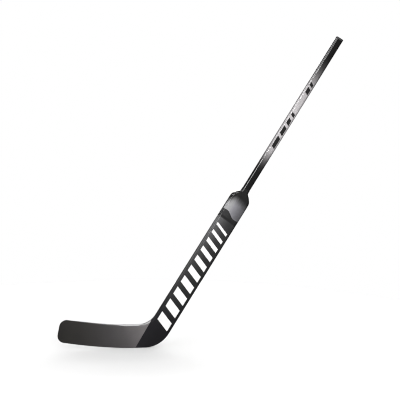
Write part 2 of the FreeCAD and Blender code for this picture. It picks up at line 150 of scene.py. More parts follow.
SHOULDER = [(600, 39.0), (604, 39.0), (608, 39.0), (613, 38.9), (617, 38.6), (621, 37.9), (625, 36.4), (629, 34.1),
            (633, 31.4), (637, 28.5), (641, 25.2), (644, 22.3), (647, 19.0), (649, 17.0), (651, 15.7),
            (653, 15.05), (656, 14.75), (660, 14.65), (664, 14.65)]


def shoulder_half_w(u):
    """Smooth curve through the shoulder's half widths."""
    pts = SHOULDER
    if u <= pts[0][0]:
        return pts[0][1]
    for i in range(len(pts) - 1):
        (u0, a0), (u1, a1) = pts[i], pts[i + 1]
        if u <= u1:
            h = u1 - u0
            before = pts[i - 1] if i else (u0 - h, a0)
            after = pts[i + 2] if i + 2 < len(pts) else (u1 + h, a1)
            m0 = (a1 - before[1]) / (u1 - before[0])
            m1 = (after[1] - a0) / (after[0] - u0)
            t = (u - u0) / h
            return ((2 * t ** 3 - 3 * t ** 2 + 1) * a0 + (t ** 3 - 2 * t ** 2 + t) * h * m0
                    + (-2 * t ** 3 + 3 * t ** 2) * a1 + (t ** 3 - t ** 2) * h * m1)
    return pts[-1][1]


def upper_edge(u):
    return -HALF_W - FLARE * max(0.0, min(1.0, (SHOULDER_U0 - u) / (SHOULDER_U0 - HEEL_LOFT_U)))


# ------------------------------------------------------------------ sections of the skins
def stations():
    """Pairs of sections (outer, inner) from the collar down the paddle, round the heel and along the blade to the toe.
    A section is (inner edge, outer edge, y of the middle, half thickness, bevels and their softness)."""
    out = []

    def drawn_in(bev):
        return tuple(max(c - SKIN, 0.7) for c in bev[:4]) + bev[4:]

    def both(p_in, p_out, y0, b, bev):
        ex, ez = p_out[0] - p_in[0], p_out[1] - p_in[1]
        n = math.hypot(ex, ez)
        ex, ez = ex / n, ez / n
        q_in = (p_in[0] + SKIN * ex, p_in[1] + SKIN * ez)
        q_out = (p_out[0] - SKIN * ex, p_out[1] - SKIN * ez)
        out.append(((p_in, p_out, y0, b, bev), (q_in, q_out, y0, b - SKIN, drawn_in(bev))))

    for u in np.linspace(COLLAR_U, SHOULDER_U0, 58):
        a = shoulder_half_w(u)
        b = table(u, [(600, HALF_T), (632, HALF_T), (661, 10.65)])
        w = table(u, [(600, BEV[0]), (630, BEV[0]), (661, 7.1)])
        t = table(u, [(600, BEV[1]), (630, BEV[1]), (661, 7.1)])
        ai, bi = max(a - SKIN, SHAFT_W / 2 + 0.25), max(b - SKIN, SHAFT_T / 2 + 0.25)
        r = table(u, [(630, 0.7), (654, SHAFT_R + 0.2)])
        wi, ti = max(w - SKIN, r), max(t - SKIN, r)
        k = table(u, [(608, K_BEV), (658, K_ARC)])
        out.append(((uv(u, -a), uv(u, a), 0.0, b, (w, t, w, t, k)), (uv(u, -ai), uv(u, ai), 0.0, bi, (wi, ti, wi, ti, k))))
    for u in np.linspace(SHOULDER_U0, HEEL_LOFT_U, 41)[1:-1]:
        both(uv(u, upper_edge(u)), uv(u, HALF_W), 0.0, HALF_T, (BEV[0], BEV[1], BEV[0], BEV[1], K_BEV))
    for u in np.linspace(HEEL_LOFT_U, FAN_U, 7)[:-1]:
        s = HEEL_LOFT_U - u
        both(uv(u, upper_edge(u)), uv(u, HALF_W), 0.0, half_t(s), bevels(s))
    for k in np.linspace(0.0, 1.0, 45):
        phi = math.radians(-(90 - LIE) - LIE * k)
        s = S_FAN0 + (S_FAN1 - S_FAN0) * k
        r, d = heel_outer(phi), (math.cos(phi), math.sin(phi))
        r_in = THROAT_R - FLARE * (1 - smooth(k))
        both((THROAT_C[0] + r_in * d[0], THROAT_C[1] + r_in * d[1]),
             (THROAT_C[0] + r * d[0], THROAT_C[1] + r * d[1]), 0.0, half_t(s), bevels(s))

    def blade(x, e, toe_r):
        rt, rs, rb = TOE_R_TOP - toe_r, TOE_R_SOLE - toe_r, 2.4
        lean = TOE_LEAN * smooth((-140.0 - x) / (-140.0 - TOE_X))
        s = S_FAN1 + (THROAT_C[0] - x)
        cut_t = rt - math.sqrt(max(0.0, rt * rt - max(0.0, rt - e) ** 2))
        cut_s = rs - math.sqrt(max(0.0, rs * rs - max(0.0, rs - e) ** 2))
        b = half_t(s) - (rb - math.sqrt(max(0.0, rb * rb - max(0.0, rb - e) ** 2)))
        zt, zs = z_top(x + lean) - cut_t, z_sole(x) + cut_s
        height = z_top(x + lean) - z_sole(x)
        p_in = (x + lean * (zt - z_sole(x)) / height, zt)
        p_out = (x + lean * (zs - z_sole(x)) / height, zs)
        return p_in, p_out, y_mid(x), b, bevels(s)

    def pair(x, e, x_i, e_i):
        o, i = blade(x, e, 0.0), blade(x_i, e_i, SKIN)
        ex, ez = i[1][0] - i[0][0], i[1][1] - i[0][1]
        n = math.hypot(ex, ez)
        q_in = (i[0][0] + SKIN * ex / n, i[0][1] + SKIN * ez / n)
        q_out = (i[1][0] - SKIN * ex / n, i[1][1] - SKIN * ez / n)
        out.append((o, (q_in, q_out, i[2], max(i[3] - SKIN, 0.5), drawn_in(i[4]))))

    for x in np.linspace(THROAT_C[0], TOE_X + TOE_R_TOP, 58)[1:-1]:
        pair(x, x - TOE_X, x, x - TOE_X - SKIN)
    for alpha in np.linspace(90.0, 0.0, 17):
        e = TOE_R_TOP * (1 - math.cos(math.radians(alpha)))
        pair(TOE_X + e, e, TOE_X + SKIN + e * (TOE_R_TOP - SKIN) / TOE_R_TOP, e * (TOE_R_TOP - SKIN) / TOE_R_TOP)
    return out


N_CORNER, N_FACE, N_EDGE = 12, 14, 3


def corner(p0, c, p1, n, k):
    """Soft corner from p0 to p1 inside the sharp corner c, with handles k; p0 itself is left out."""
    q0 = (p0[0] + k * (c[0] - p0[0]), p0[1] + k * (c[1] - p0[1]))
    q1 = (p1[0] + k * (c[0] - p1[0]), p1[1] + k * (c[1] - p1[1]))
    pts = []
    for i in range(1, n + 1):
        t = i / n
        w = ((1 - t) ** 3, 3 * t * (1 - t) ** 2, 3 * t * t * (1 - t), t ** 3)
        pts.append(tuple(sum(wk * q[j] for wk, q in zip(w, (p0, q0, q1, p1))) for j in (0, 1)))
    return pts


def clip_bev(sec):
    b, (iw, it, ow, ot, _) = sec[3], sec[4]
    return iw, min(it, 0.8 * b), ow, min(ot, 0.8 * b)


def half_ring(sec, side, seam, groove):
    """Half of a section, in 3-D, from the seam on the inner edge round one face to the seam on the outer edge."""
    p_in, p_out, y0, b, (*_, k) = sec
    iw, it, ow, ot = clip_bev(sec)
    dx, dz = p_out[0] - p_in[0], p_out[1] - p_in[1]
    length = math.hypot(dx, dz)
    a = length / 2

    def edge(s, y_end):
        """From the seam to the start of the bevel, with a fine groove along the seam."""
        sign = 1 if s < 0 else -1
        g = min(0.42, 0.4 * abs(y_end - seam))
        pts = [(s + sign * groove, seam), (s + sign * 0.25 * groove, seam + side * 0.45 * g), (s, seam + side * g)]
        y_a = seam + side * g
        return pts + [(s, y_a + (y_end - y_a) * i / N_EDGE) for i in range(1, N_EDGE + 1)]

    flat0, flat1 = (-a + iw, side * b), (a - ow, side * b)
    hold = min(0.5, 0.05 * (flat1[0] - flat0[0]))
    row = edge(-a, side * (b - it))
    row += corner((-a, side * (b - it)), (-a, side * b), flat0, N_CORNER, k)
    row += [(s, side * b) for s in np.linspace(flat0[0] + hold, flat1[0] - hold, N_FACE)]
    row += [flat1] + corner(flat1, (a, side * b), (a, side * (b - ot)), N_CORNER, k)
    row += edge(a, side * (b - ot))[::-1][1:]
    cx, cz = (p_in[0] + p_out[0]) / 2, (p_in[1] + p_out[1]) / 2
    ex, ez = dx / length, dz / length
    return [(cx + ex * s, y0 + y, cz + ez * s) for s, y in row]


def close_holes(bm):
    edges = [e for e in bm.edges if len(e.link_faces) == 1]
    if edges:
        made = bmesh.ops.edgeloop_fill(bm, edges=edges)["faces"]
        bmesh.ops.triangulate(bm, faces=made)


def to_object(bm, name, sharp=40.0):
    bmesh.ops.recalc_face_normals(bm, faces=bm.faces)
    mesh = bpy.data.meshes.new(name)
    bm.to_mesh(mesh)
    bm.free()
    mesh.shade_smooth()
    mesh.set_sharp_from_angle(angle=math.radians(sharp))
    obj = bpy.data.objects.new(name, mesh)
    bpy.context.scene.collection.objects.link(obj)
    return obj


STATIONS = stations()


def skin(name, side, part):
    """One laminate shell: the front (-1) or rear (+1) half of the hollow form, cut where blade and paddle meet."""
    outer, inner = [], []
    for sec_o, sec_i in STATIONS:
        room = []
        for sec in (sec_o, sec_i):
            _, it, _, ot = clip_bev(sec)
            room += [0.6 * (sec[3] - it), 0.6 * (sec[3] - ot)]
        seam = min([SEAM_Y] + room)
        gap = 0.5 * GAP * side
        outer.append([(x, y, max(z, 0.0)) for x, y, z in half_ring(sec_o, side, seam + gap, 0.22)])
        inner.append(half_ring(sec_i, side, seam + gap, 0.0))
    m = len(outer[0])
    bm = bmesh.new()
    grid_o = [[bm.verts.new([c * MM for c in p]) for p in ring] for ring in outer]
    grid_i = [[bm.verts.new([c * MM for c in p]) for p in ring] for ring in inner]
    for grid in (grid_o, grid_i):
        for r0, r1 in zip(grid, grid[1:]):
            for j in range(m - 1):
                bm.faces.new((r0[j], r0[j + 1], r1[j + 1], r1[j]))
        # the toe: pairs of points across the end, and one last face along the flat
        r = grid[-1]
        n_pairs = 3 + N_EDGE + N_CORNER - 1
        for j in range(n_pairs - 1):
            bm.faces.new((r[j], r[j + 1], r[m - 2 - j], r[m - 1 - j]))
        j = n_pairs - 1
        bm.faces.new(r[j:m - j])
    for r_o, r_i in zip(zip(grid_o, grid_o[1:]), zip(grid_i, grid_i[1:])):
        for j in (0, m - 1):
            bm.faces.new((r_o[0][j], r_o[1][j], r_i[1][j], r_i[0][j]))
    bm.faces.new((grid_o[-1][0], grid_o[-1][-1], grid_i[-1][-1], grid_i[-1][0]))
    for j in range(m - 1):
        bm.faces.new((grid_o[0][j], grid_o[0][j + 1], grid_i[0][j + 1], grid_i[0][j]))
    normal = Vector((math.sin(JOIN_ANGLE), 0.0, -math.cos(JOIN_ANGLE)))
    sign = 1 if part == "paddle" else -1
    where = Vector((JOIN_X * MM, 0.0, 0.0)) + normal * sign * 0.5 * GAP * MM
    bmesh.ops.bisect_plane(bm, geom=bm.verts[:] + bm.edges[:] + bm.faces[:], dist=1e-7, plane_co=where,
                           plane_no=normal, clear_inner=sign > 0, clear_outer=sign < 0)
    close_holes(bm)
    return to_object(bm, name)


def bar_ring(u, a, b, r, n_corner=12):
    """Rounded rectangle across the shaft, in 3-D."""
    row = []
    for sv, sy in ((-1, -1), (1, -1), (1, 1), (-1, 1)):
        c = (sv * (a - r), sy * (b - r))
        start = math.atan2(sy, sv) - math.pi / 4
        arc = [start + math.pi / 2 * i / n_corner for i in range(n_corner + 1)]
        row.append([(c[0] + r * math.cos(t), c[1] + r * math.sin(t)) for t in arc])
    pts = []
    for k in range(4):
        pts += row[k]
        p, q = row[k][-1], row[(k + 1) % 4][0]
        n = math.hypot(q[0] - p[0], q[1] - p[1])
        for f in [0.4 / n] + [i / 6 for i in range(1, 6)] + [1 - 0.4 / n]:
            pts.append((p[0] + (q[0] - p[0]) * f, p[1] + (q[1] - p[1]) * f))
    return [(uv(u, v)[0], y, uv(u, v)[1]) for v, y in pts]


def tube(name):
    """The shaft: a straight hollow bar whose outer and inner ends are lightly broken."""
    a, b, r, w, c = SHAFT_W / 2, SHAFT_T / 2, SHAFT_R, SHAFT_WALL, 0.35
    us = [TENON_U + c] + list(np.linspace(TENON_U + 6, SHAFT_END_U - 6, 64)) + [SHAFT_END_U - c]
    rings = [bar_ring(TENON_U, a - c, b - c, r - c)] + [bar_ring(u, a, b, r) for u in us]
    rings += [bar_ring(SHAFT_END_U, a - c, b - c, r - c)]
    rings += [bar_ring(u, a - w, b - w, r - w) for u in [SHAFT_END_U] + us[::-1] + [TENON_U]]
    bm = bmesh.new()
    grid = [[bm.verts.new([k * MM for k in p]) for p in ring] for ring in rings]
    m = len(grid[0])
    for r0, r1 in zip(grid, grid[1:] + grid[:1]):
        for j in range(m):
            bm.faces.new((r0[j], r0[(j + 1) % m], r1[(j + 1) % m], r1[j]))
    return to_object(bm, name)


# ------------------------------------------------------------------ materials
class Paint:
    """A Principled material with a small kit for building patterns from the stick's own coordinates, in mm."""

    def __init__(self, name, **sockets):
        self.mat = bpy.data.materials.new(name)
        self.mat.use_nodes = True
        self.tree = self.mat.node_tree
        self.bsdf = self.tree.nodes["Principled BSDF"]
        for k, value in sockets.items():
            self.bsdf.inputs[k.replace("_", " ")].default_value = value
        place = self.tree.nodes.new("ShaderNodeTexCoord").outputs["Object"]
        self.p = self.vec("SCALE", place, 1000.0)
        self.xyz = self.tree.nodes.new("ShaderNodeSeparateXYZ")
        self.put(self.p, self.xyz.inputs[0])
        self.x, self.y, self.z = self.xyz.outputs
        self.u = self.math("SUBTRACT", self.vec("DOT_PRODUCT", self.p, (AX[0], 0, AX[1])), C0[0] * AX[0] + C0[1] * AX[1])
        self.v = self.math("SUBTRACT", self.vec("DOT_PRODUCT", self.p, (PX[0], 0, PX[1])), C0[0] * PX[0] + C0[1] * PX[1])
        self.ay = self.math("ABSOLUTE", self.y)

    def put(self, value, socket):
        if isinstance(value, bpy.types.NodeSocket):
            self.tree.links.new(value, socket)
        else:
            socket.default_value = value

    def math(self, op, a, b=0.0, c=0.0, clamp=False):
        n = self.tree.nodes.new("ShaderNodeMath")
        n.operation, n.use_clamp = op, clamp
        for s, value in zip(n.inputs, (a, b, c)):
            self.put(value, s)
        return n.outputs[0]

    def add(self, a, b):
        return self.math("ADD", a, b)

    def mul(self, a, b):
        return self.math("MULTIPLY", a, b)

    def vec(self, op, a, b):
        n = self.tree.nodes.new("ShaderNodeVectorMath")
        n.operation = op
        self.put(a, n.inputs[0])
        if op == "SCALE":
            self.put(b, n.inputs["Scale"])
            return n.outputs[0]
        self.put(b, n.inputs[1])
        return n.outputs["Value"] if op == "DOT_PRODUCT" else n.outputs[0]

    def join(self, a, b, c):
        n = self.tree.nodes.new("ShaderNodeCombineXYZ")
        for s, value in zip(n.inputs, (a, b, c)):
            self.put(value, s)
        return n.outputs[0]

    def step(self, x, lo, hi):
        """0 below lo, 1 above hi, smooth between."""
        n = self.tree.nodes.new("ShaderNodeMapRange")
        n.interpolation_type = "SMOOTHSTEP"
        self.put(x, n.inputs["Value"])
        n.inputs["From Min"].default_value, n.inputs["From Max"].default_value = lo, hi
        return n.outputs["Result"]

    def curve(self, x, rows, ease="B_SPLINE"):
        """A value that follows a table of (x, value) rows."""
        lo, hi = rows[0][0], rows[-1][0]
        n = self.tree.nodes.new("ShaderNodeMapRange")
        self.put(x, n.inputs["Value"])
        n.inputs["From Min"].default_value, n.inputs["From Max"].default_value = lo, hi
        r = self.tree.nodes.new("ShaderNodeValToRGB")
        r.color_ramp.interpolation = ease
        stops = r.color_ramp.elements
        while len(stops) < len(rows):
            stops.new(0.5)
        for e, (at, value) in zip(stops, rows):
            e.position = (at - lo) / (hi - lo)
            e.color = (value, value, value, 1.0)
        self.put(n.outputs["Result"], r.inputs["Fac"])
        return r.outputs["Color"]

    def noise(self, vector, scale, detail=3.0, rough=0.55):
        n = self.tree.nodes.new("ShaderNodeTexNoise")
        self.put(vector, n.inputs["Vector"])
        n.inputs["Scale"].default_value = scale
        n.inputs["Detail"].default_value = detail
        n.inputs["Roughness"].default_value = rough
        return n.outputs["Fac"]

    def blend(self, fac, a, b, kind="MIX"):
        n = self.tree.nodes.new("ShaderNodeMix")
        n.data_type, n.blend_type = "RGBA", kind
        self.put(fac, n.inputs[0])
        for value, s in ((a, n.inputs[6]), (b, n.inputs[7])):
            if isinstance(value, (int, float)):
                value = (value, value, value, 1.0)
            self.put(value, s)
        return n.outputs[2]

    def lerp(self, fac, a, b):
        n = self.tree.nodes.new("ShaderNodeMix")
        n.data_type = "FLOAT"
        for value, s in ((fac, n.inputs[0]), (a, n.inputs[2]), (b, n.inputs[3])):
            self.put(value, s)
        return n.outputs[0]

    def wobble(self, value, noise, amount):
        """value times 1 +- amount, by a noise."""
        return self.mul(value, self.math("MULTIPLY_ADD", noise, 2 * amount, 1.0 - amount))

    def twill(self, a, b, tow):
        """2/2 twill of tows that wide, along the diagonals of a and b: (which tow is on top, height)."""
        k = 1.0 / (tow * math.sqrt(2.0))
        s, t = self.mul(self.add(a, b), k), self.mul(self.math("SUBTRACT", a, b), k)
        i, j = self.math("FLOOR", s), self.math("FLOOR", t)
        phase = self.math("FLOORED_MODULO", self.math("SUBTRACT", i, j), 4.0)
        top = self.math("LESS_THAN", phase, 1.5)
        fs = self.math("SUBTRACT", self.math("SUBTRACT", s, i), 0.5)
        ft = self.math("SUBTRACT", self.math("SUBTRACT", t, j), 0.5)
        h = self.math("SUBTRACT", 1.0, self.mul(4.0, self.lerp(top, self.mul(fs, fs), self.mul(ft, ft))))
        return top, h

    def bump(self, height, strength, distance_mm, under=None):
        n = self.tree.nodes.new("ShaderNodeBump")
        n.inputs["Strength"].default_value = strength
        n.inputs["Distance"].default_value = distance_mm * MM
        self.put(height, n.inputs["Height"])
        if under is not None:
            self.put(under, n.inputs["Normal"])
        return n.outputs[0]

    def done(self, colour=None, rough=None, normal=None):
        for value, name in ((colour, "Base Color"), (rough, "Roughness"), (normal, "Normal")):
            if value is not None:
                self.put(value, self.bsdf.inputs[name])
        return self.mat


def tint(p, grey, rgb):
    return p.blend(1.0, grey, (*rgb, 1.0), "MULTIPLY")


def fine(p):
    """Scuffs along the stick, and the soft unevenness of sprayed lacquer."""
    along = p.join(p.mul(p.u, 0.035), p.mul(p.v, 0.9), p.mul(p.y, 0.9))
    return p.noise(along, 1.0, 4.0, 0.6), p.noise(p.p, 0.16, 2.0), p.noise(p.p, 0.021, 3.0)


def paddle_paint():
    p = Paint("paddle_lacquer", Coat_Weight=0.6, Coat_Roughness=0.11, Specular_IOR_Level=0.12)
    scuff, peel, cloud = fine(p)
    top, weave = p.twill(p.u, p.v, 2.2)
    # black at the heel, charcoal that lightens towards the upper edge and the shoulder
    rise = p.curve(p.u, [(90, 0.02), (170, 0.10), (270, 0.22), (330, 0.27), (400, 0.40), (460, 0.62), (530, 1.0)])
    across = p.curve(p.v, [(-39, 1.0), (-24, 0.76), (-6, 0.30), (12, 0.08), (39, 0.0)])
    low = p.curve(p.u, [(30, 0.0078), (95, 0.0085), (150, 0.0135), (420, 0.0150), (530, 0.0180)])
    ground = p.math("MULTIPLY_ADD", p.mul(rise, across), 0.120, low)
    slant = p.math("MULTIPLY_ADD", p.v, 0.06, p.u)
    ground = p.lerp(p.step(slant, 524.0, 530.0), ground, p.curve(p.v, [(-39, 0.016), (-10, 0.011), (39, 0.008)]))
    ground = p.lerp(p.step(slant, 534.0, 540.0), ground, p.curve(p.v, [(-39, 0.036), (-12, 0.028), (2, 0.016), (39, 0.010)]))
    # a silver panel on the shoulder starts on a soft wave and fades out under the collar; its silver carries painted
    # shading, light at the upper edge and darker towards the lower edge, as light falls from the upper left
    wave = p.math("MULTIPLY_ADD", p.step(p.v, -22.0, 20.0), 20.0, p.u)
    above = p.step(wave, 562.5, 563.3)
    ground = p.lerp(above, ground, 0.0070)
    # painted shading across the silver panel: light at the upper edge, dark at the lower edge
    shaded_silver = p.curve(p.v, [(-39, 0.37), (-20, 0.378), (-8, 0.255), (4, 0.192), (15, 0.136), (26, 0.090), (39, 0.072)])
    streak = p.noise(p.join(p.mul(p.u, 0.05), p.mul(p.v, 0.22), 0.0), 1.0, 3.0)
    shift = p.curve(p.v, [(-39, 0.85), (-30, 0.69), (-22, 0.24), (-14, 0.03), (0, 0.20), (16, 0.26), (30, 0.52), (39, 0.70)])
    edge = p.add(p.math("MULTIPLY_ADD", shift, 20.0, p.u), p.mul(streak, 14.0))
    fade = p.step(edge, 638.0, 598.0)
    face = p.step(p.ay, 6.8, 8.4)
    silver = p.mul(p.mul(above, fade), face)
    flake = p.noise(p.p, 1.9, 2.0, 0.7)
    grey = p.lerp(silver, p.wobble(ground, cloud, 0.12), p.wobble(shaded_silver, flake, 0.05))
    grey = p.mul(grey, p.lerp(silver, p.lerp(top, 0.96, 1.04), 1.0))
    grey = p.wobble(grey, scuff, 0.06)
    colour = p.blend(p.step(p.u, 170.0, 60.0), tint(p, grey, (0.99, 0.99, 1.01)), tint(p, grey, (1.02, 0.97, 1.17)))
    colour = p.blend(p.mul(silver, p.step(p.v, -20.0, -2.0)), colour, tint(p, grey, (1.0, 0.985, 1.075)))
    rough = p.lerp(silver, p.math("MULTIPLY_ADD", scuff, 0.10, 0.27), p.math("MULTIPLY_ADD", flake, 0.10, 0.30))
    normal = p.bump(weave, 0.05, 0.08, p.bump(peel, 0.02, 0.4))
    return p.done(colour, rough, normal)


def shaft_paint():
    p = Paint("shaft_lacquer", Coat_Weight=1.0, Coat_Roughness=0.075, Specular_IOR_Level=0.06)
    scuff, peel, cloud = fine(p)
    top, weave = p.twill(p.u, p.add(p.v, p.y), 1.6)
    silver = p.curve(p.u, [(740, 0.0), (785, 0.33), (828, 0.90), (1000, 1.0), (1110, 0.92), (1165, 0.46), (1232, 0.0)])
    flake = p.noise(p.p, 1.7, 2.0, 0.7)
    brushed = p.noise(p.join(p.mul(p.u, 0.02), p.mul(p.v, 0.35), p.mul(p.y, 0.35)), 1.0, 3.0)
    # the silver's level along the shaft, times painted shading across it: dark at the left outline and darker still
    # towards the right edge, where the bar turns away from the light
    bright = p.mul(p.curve(p.u, [(740, 0.60), (850, 0.64), (1030, 0.575), (1120, 0.52), (1232, 0.50)]),
                   p.curve(p.v, [(-14, 0.34), (-12, 0.78), (-10, 0.96), (-4, 1.0), (5, 0.95), (9, 0.64), (11, 0.38), (14, 0.28)]))
    shaded_silver = p.wobble(p.wobble(bright, flake, 0.02), brushed, 0.06)
    black = p.mul(p.wobble(0.0040, cloud, 0.15), p.lerp(top, 0.95, 1.05))
    grey = p.wobble(p.lerp(p.mul(silver, silver), black, shaded_silver), scuff, 0.03)
    colour = tint(p, grey, (1.02, 0.98, 0.995))
    rough = p.lerp(silver, p.math("MULTIPLY_ADD", scuff, 0.08, 0.22), p.math("MULTIPLY_ADD", flake, 0.10, 0.30))
    normal = p.bump(weave, 0.02, 0.06, p.bump(peel, 0.010, 0.3))
    return p.done(colour, rough, normal)


def blade_paint():
    p = Paint("blade_lacquer", Coat_Weight=0.40, Coat_Roughness=0.20, Specular_IOR_Level=0.20)
    scuff, peel, cloud = fine(p)
    top, weave = p.twill(p.x, p.z, 2.6)
    lean = p.math("MULTIPLY_ADD", p.z, 0.28, p.x)
    grey = p.curve(lean, [(-302, 0.015), (-200, 0.023), (-120, 0.037), (-40, 0.064), (10, 0.119), (45, 0.142)])
    grey = p.wobble(p.wobble(grey, cloud, 0.10), scuff, 0.06)
    grey = p.mul(grey, p.lerp(top, 0.99, 1.01))
    colour = p.blend(p.step(p.x, -250.0, -90.0), tint(p, grey, (1.07, 0.99, 0.91)), tint(p, grey, (1.055, 0.98, 1.0)))
    # a painted highlight: the top edges at the throat are painted light grey in place of the reflection they catch
    # there
    lower = p.curve(p.x, [(-310, 1.0), (-150, 0.40), (-106, 0.20), (-82, 0.15), (-64, 0.11), (-50, 0.0825), (-4, 0.0825), (12, 0.14), (25, 0.17),
                          (40, 0.26), (60, 0.5)], "LINEAR")
    edge = p.step(p.math("SUBTRACT", p.z, p.math("MULTIPLY_ADD", lower, 60.0, 78.0)), -0.8, 0.8)
    edge = p.mul(edge, p.step(p.math("ABSOLUTE", p.y), 2.6, 5.4))
    # the light grey of the painted highlight along the throat's top edges
    colour = p.blend(edge, colour, (0.44, 0.44, 0.44, 1.0))
    rough = p.math("MULTIPLY_ADD", p.add(scuff, cloud), 0.08, 0.34)
    normal = p.bump(weave, 0.02, 0.06, p.bump(peel, 0.03, 0.4))
    return p.done(colour, rough, normal)


def film(name, level, rough0, shine):
    p = Paint(name, Coat_Weight=0.10, Coat_Roughness=0.2, Specular_IOR_Level=shine)
    scuff, peel, cloud = fine(p)
    grey = p.wobble(p.wobble(level, cloud, 0.025), scuff, 0.02)
    return p.done(tint(p, grey, (1.0, 0.995, 0.985)), p.math("MULTIPLY_ADD", scuff, 0.14, rough0), p.bump(peel, 0.06, 0.3))


def moulded(name, rgb, rough0):
    p = Paint(name)
    grain, cloud = p.noise(p.p, 2.6, 2.0), p.noise(p.p, 0.09, 3.0)
    grey = p.wobble(1.0, cloud, 0.12)
    return p.done(tint(p, grey, rgb), p.math("MULTIPLY_ADD", grain, 0.16, rough0), p.bump(grain, 0.20, 0.12))


def carbon(name):
    p = Paint(name, Coat_Weight=0.2, Coat_Roughness=0.25)
    top, weave = p.twill(p.u, p.add(p.v, p.y), 2.0)
    cloud = p.noise(p.p, 0.08, 3.0)
    grey = p.wobble(p.lerp(top, 0.016, 0.032), cloud, 0.2)
    return p.done(tint(p, grey, (1.0, 1.0, 1.02)), p.math("MULTIPLY_ADD", cloud, 0.15, 0.34), p.bump(weave, 0.3, 0.15))


def foam(name):
    p = Paint(name)
    n = p.tree.nodes.new("ShaderNodeTexVoronoi")
    p.put(p.p, n.inputs["Vector"])
    n.inputs["Scale"].default_value = 1.1
    cell, cloud = n.outputs["Distance"], p.noise(p.p, 0.05, 3.0)
    grey = p.wobble(p.math("MULTIPLY_ADD", cell, 0.18, 0.86), cloud, 0.06)
    return p.done(tint(p, grey, (0.86, 0.77, 0.58)), p.math("MULTIPLY_ADD", cloud, 0.1, 0.82), p.bump(cell, 0.4, 0.3))


def resin(name):
    p = Paint(name, Coat_Weight=0.3, Coat_Roughness=0.12)
    cloud, speck = p.noise(p.p, 0.12, 4.0), p.noise(p.p, 1.2, 2.0)
    grey = p.wobble(p.wobble(1.0, cloud, 0.18), speck, 0.06)
    return p.done(tint(p, grey, (0.36, 0.25, 0.10)), p.math("MULTIPLY_ADD", cloud, 0.2, 0.22), p.bump(cloud, 0.15, 0.3))


def wood(name, light, dark):
    p = Paint(name)
    along = p.join(p.mul(p.u, 0.012), p.mul(p.v, 0.55), p.mul(p.y, 0.55))
    grain, pores = p.noise(along, 1.0, 5.0, 0.6), p.noise(p.join(p.mul(p.u, 0.06), p.mul(p.v, 2.4), p.mul(p.y, 2.4)), 1.0, 2.0)
    ring = p.step(p.math("SINE", p.mul(grain, 34.0)), -0.6, 0.9)
    colour = p.blend(p.math("MULTIPLY_ADD", ring, 0.6, p.mul(pores, 0.4)), (*dark, 1.0), (*light, 1.0))
    return p.done(colour, p.math("MULTIPLY_ADD", pores, 0.2, 0.5), p.bump(pores, 0.2, 0.15))


PADDLE, SHAFT, BLADE = paddle_paint(), shaft_paint(), blade_paint()
WHITE, BLACK = film("white_film", 0.86, 0.34, 0.4), film("black_film", 0.007, 0.30, 0.12)
PLUG, RIM = moulded("plug_plastic", (0.020, 0.020, 0.021), 0.40), moulded("rim_plastic", (0.10, 0.10, 0.11), 0.45)
CARBON, FOAM, RESIN = carbon("bare_carbon"), foam("core_foam"), resin("epoxy")
ASPEN = wood("rail_strip", (0.62, 0.46, 0.28), (0.44, 0.30, 0.16))
BLOCK = wood("heel_composite", (0.36, 0.23, 0.12), (0.22, 0.13, 0.06))

FINISH = {
    "paddle_front_skin": PADDLE, "paddle_rear_skin": PADDLE, "blade_front_skin": BLADE, "blade_rear_skin": BLADE,
    "shaft_tube": SHAFT, "shaft_end_plug": PLUG, "tenon_foam_stopper": FOAM, "tenon_adhesive": RESIN,
    "shoulder_filler": RESIN, "paddle_upper_spar": CARBON, "paddle_lower_spar": CARBON, "paddle_middle_core": FOAM,
    "paddle_upper_rail": ASPEN, "paddle_lower_rail": ASPEN, "paddle_upper_core": FOAM, "paddle_lower_core": FOAM,
    "heel_block": BLOCK, "blade_bridge": CARBON, "blade_lower_core": FOAM, "blade_upper_core": FOAM, "blade_rim": RIM,
    "paddle_front_film": WHITE, "paddle_rear_film": WHITE, "shaft_front_film": BLACK, "shaft_rear_film": BLACK,
}
for name, node in NODES.items():
    for s in node.material_slots:
        s.material = FINISH[name]

# ------------------------------------------------------------------ smooth pieces in place of the faceted ones
for piece, node, mat, slot in (
    (skin("paddle_shell_front", -1, "paddle"), "paddle_front_skin", PADDLE, "paddle_laminate"),
    (skin("paddle_shell_rear", 1, "paddle"), "paddle_rear_skin", PADDLE, "paddle_laminate"),
    (skin("blade_shell_front", -1, "blade"), "blade_front_skin", BLADE, "blade_laminate"),
    (skin("blade_shell_rear", 1, "blade"), "blade_rear_skin", BLADE, "blade_laminate"),
    (tube("shaft_lacquered_tube"), "shaft_tube", SHAFT, "shaft_laminate"),
):
    piece.data.materials.append(mat)
    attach(piece, "root")
    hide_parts(node)

# ------------------------------------------------------------------ floor, light, camera
scene = bpy.context.scene
bm = bmesh.new()
bmesh.ops.create_circle(bm, cap_ends=True, segments=128, radius=1.5)
floor_mesh = bpy.data.meshes.new("floor")
bm.to_mesh(floor_mesh)
bm.free()
floor = bpy.data.objects.new("floor", floor_mesh)
scene.collection.objects.link(floor)
floor.location = (-0.05, -0.05, -0.0004)


def floor_paint():
    p = Paint("pale_floor", Roughness=0.9)
    p.bsdf.inputs["Specular IOR Level"].default_value = 0.0
    off = p.vec("SUBTRACT", p.p, (0.0, 400.0, 0.0))
    far = p.step(p.vec("DOT_PRODUCT", off, off), 650.0 ** 2, 1400.0 ** 2)
    fleck = p.noise(p.p, 0.02, 2.0)
    grey = p.wobble(0.25, fleck, 0.004)
    p.put(p.blend(1.0, grey, (1, 1, 1, 1), "MULTIPLY"), p.bsdf.inputs["Base Color"])
    # painted light: the floor glows, faintly under the stick and strongly towards its rim, so it stays white out to its
    # edge and the lamps' shadow fades out before it
    p.bsdf.inputs["Emission Color"].default_value = (1, 1, 1, 1)
    p.put(p.math("MULTIPLY_ADD", far, 0.65, 0.236), p.bsdf.inputs["Emission Strength"])
    return p.mat


floor.data.materials.append(floor_paint())
floor.visible_glossy = False

